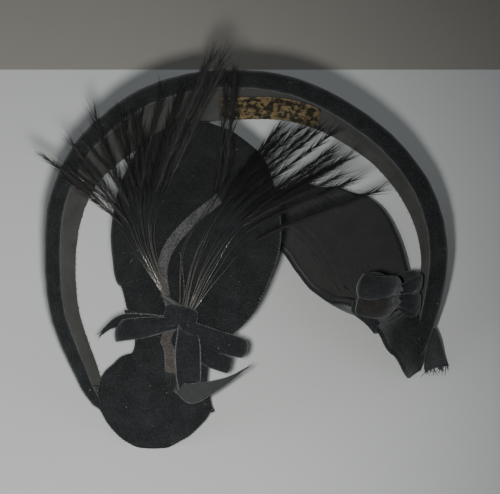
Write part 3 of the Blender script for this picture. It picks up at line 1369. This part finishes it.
def quill_lines(bunch):
    lines = []
    root = head_origin + head_across * (bunch * SPRAY_HEAD * (HEAD_LONG - 1) / 2)
    locks = [row for row in LOCKS if row[0] == bunch]
    for place, row in enumerate(locks):
        fan = 2 * place / (len(locks) - 1) - 1
        root_side = fan * (LEFT_FAN if bunch < 0 else RIGHT_FAN)
        bend, tip = in_arch(*row[1:4]), in_arch(*row[4:7])
        for _ in range(QUILLS_IN_LOCK):
            start = root + head_across * (
                root_side + dice.uniform(-0.0007, 0.0007)
            ) + head_out * dice.uniform(-0.001, 0.001)
            spread = Vector([dice.gauss(0, 1) for _ in range(3)])
            long = dice.uniform(0.72, 0.94)
            middle = bend + spread * 0.0022
            end = middle.lerp(tip + spread * 0.0035, long)
            # quills leave the knot close together and bow apart higher up
            low = start.lerp(middle, 0.45) + head_across * row[7] + head_out * 0.0015
            path = smooth_through([start - head_along * 0.002, start, low, middle, end])
            lines.append([path((1 + 3 * i / (QUILL_POINTS - 1)) / 4) for i in range(QUILL_POINTS)])
    return lines


left_quills, right_quills = quill_lines(-1), quill_lines(1)
head_cloth = new_cloth()
add_roll(
    head_cloth, lambda s: head_origin + head_across * ((2 * s - 1) * SPRAY_HEAD * HEAD_LONG / 2),
    lambda s: SPRAY_HEAD * 0.2 * math.sqrt(
        max(1 - (2 * s - 1) ** 4, 0.02)
    ) * (1 + 0.05 * math.sin(s * 150)),
    120, 20
)
spray_head = make_piece("thread_bound_head", head_cloth, [BLACK_THREAD], "feather_spray")

barb_tree, barb_in = new_tree(
    "barbs_on_quills",
    {
        "Spacing": "Float", "First share": "Float", "Barb length": "Float", "Barb radius": "Float",
        "Material": "Material"
    }
)
shaft = node(barb_tree, "GeometryNodeMeshToCurve", {"Mesh": barb_in["Geometry"]})
level = node(barb_tree, "GeometryNodeSetCurveNormal", {"Curve": shaft}, mode="Z_UP")
barb_places = node(
    barb_tree, "GeometryNodeCurveToPoints", {"Curve": level, "Length": barb_in["Spacing"]}, mode="LENGTH"
)
barb_share = node(barb_tree, "GeometryNodeInputNamedAttribute", {"Name": "along"}, data_type="FLOAT")
too_low = node(
    barb_tree, "FunctionNodeCompare", {"A": barb_share, "B": barb_in["First share"]}, data_type="FLOAT",
    operation="LESS_THAN"
)
tufted = node(
    barb_tree, "GeometryNodeDeleteGeometry", {"Geometry": barb_places, "Selection": too_low}, domain="POINT"
)
barb_shape = node(
    barb_tree, "GeometryNodeCurveQuadraticBezier",
    {"Resolution": 4, "Start": (0, 0, 0), "Middle": (0.1, 0, 0.45), "End": (0.18, 0.03, 0.98)}
)
barb_along = node(barb_tree, "GeometryNodeSplineParameter")
barb_taper = node(
    barb_tree, "ShaderNodeMapRange",
    {"Value": barb_along, "To Min": barb_in["Barb radius"], "To Max": 0.002}
)
three_sided = node(barb_tree, "GeometryNodeCurvePrimitiveCircle", {"Resolution": 3, "Radius": 1.0})
barb = node(
    barb_tree, "GeometryNodeCurveToMesh",
    {"Curve": barb_shape, "Profile Curve": three_sided, "Scale": barb_taper, "Fill Caps": True}
)
# the barbs stand on two sides of a quill, as a vane does, and lie a little astray
which_side = node(barb_tree, "FunctionNodeRandomValue", {4: 0, 5: 1, "Seed": 3}, data_type="INT")
astray = node(
    barb_tree, "FunctionNodeRandomValue", {0: (-0.1, -0.17, -0.3), 1: (0.1, 0.17, 0.3), "Seed": 5},
    data_type="FLOAT_VECTOR"
)
half_turn = node(barb_tree, "ShaderNodeMath", {0: which_side, 1: math.pi}, operation="MULTIPLY")
side_turn = node(barb_tree, "ShaderNodeCombineXYZ", {"Z": half_turn})
barb_euler = node(barb_tree, "ShaderNodeVectorMath", {0: side_turn, 1: astray}, operation="ADD")
barb_turn = node(barb_tree, "FunctionNodeEulerToRotation", {"Euler": barb_euler})
barb_way = node(
    barb_tree, "FunctionNodeRotateRotation",
    {"Rotation": barb_places.outputs["Rotation"], "Rotate By": barb_turn}, rotation_space="LOCAL"
)
barb_random = node(barb_tree, "FunctionNodeRandomValue", {2: 0.45, 3: 1.15, "Seed": 12}, data_type="FLOAT")
barb_size = node(
    barb_tree, "ShaderNodeMath", {0: barb_in["Barb length"], 1: barb_random}, operation="MULTIPLY"
)
barbs = node(
    barb_tree, "GeometryNodeInstanceOnPoints",
    {"Points": tufted, "Instance": barb, "Rotation": barb_way, "Scale": barb_size}
)
end_tree(barb_tree, barbs, barb_in["Material"])

for side, lines in (("left", left_quills), ("right", right_quills)):
    quills = grown(
        f"{side}_quills", lines, strand_tree,
        {"Root radius": 0.0002, "Tip radius": 0.00009, "Sides": 6, "Material": QUILL_HORN}
    )
    wisps = grown(
        f"{side}_barbs", lines, barb_tree,
        {
            "Spacing": 0.00028, "First share": 0.62, "Barb length": 0.0105, "Barb radius": 0.0185,
            "Material": BARB_BLACK
        }
    )
